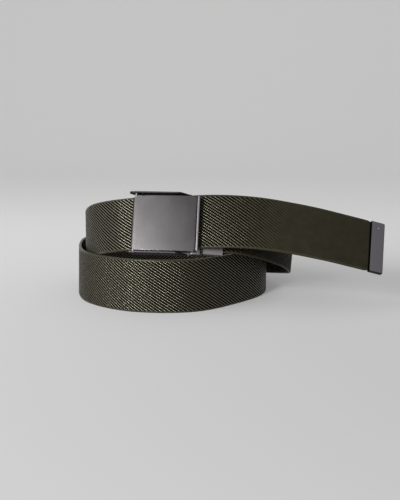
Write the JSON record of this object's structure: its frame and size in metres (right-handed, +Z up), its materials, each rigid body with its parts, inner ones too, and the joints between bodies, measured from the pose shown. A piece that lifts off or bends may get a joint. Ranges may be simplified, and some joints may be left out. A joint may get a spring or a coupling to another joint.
{
  "type": "stretch belt",
  "caption": "Elastic webbing belt wound in a loose coil that stands on its edge, with a flip lever buckle holding one end and a crimped metal tip on the free end.",
  "frame": {"origin": "middle of the belt's outline seen from above, on the surface that the coil stands on", "axes": "+Z up, across the webbing where the coil stands; the buckle's face and the free end are on the -Y side, and the free end runs towards +X"},
  "size_m": [0.2295, 0.182, 0.0854],
  "materials": {
    "webbing": "dark olive elastic webbing with raised diagonal ribs",
    "gunmetal": "satin gunmetal plating, lighter along worn edges",
    "pin_steel": "plain drawn steel"
  },
  "bodies": {
    "belt": {"strap": "webbing", "buckle_frame": "gunmetal", "strap_clamp": "gunmetal", "strap_tip": "gunmetal", "hinge_pin": "pin_steel", "link_pin": "pin_steel"},
    "lever": {"buckle_lever": "gunmetal"}
  },
  "joints": [
    {"name": "lever_hinge", "type": "hinge", "parent": "belt", "child": "lever", "pos_m": [-0.06172, -0.07274, 0.06405], "axis": [-0.0466, -0.3635, -0.9304], "range_deg": [0, 100]}
  ]
}
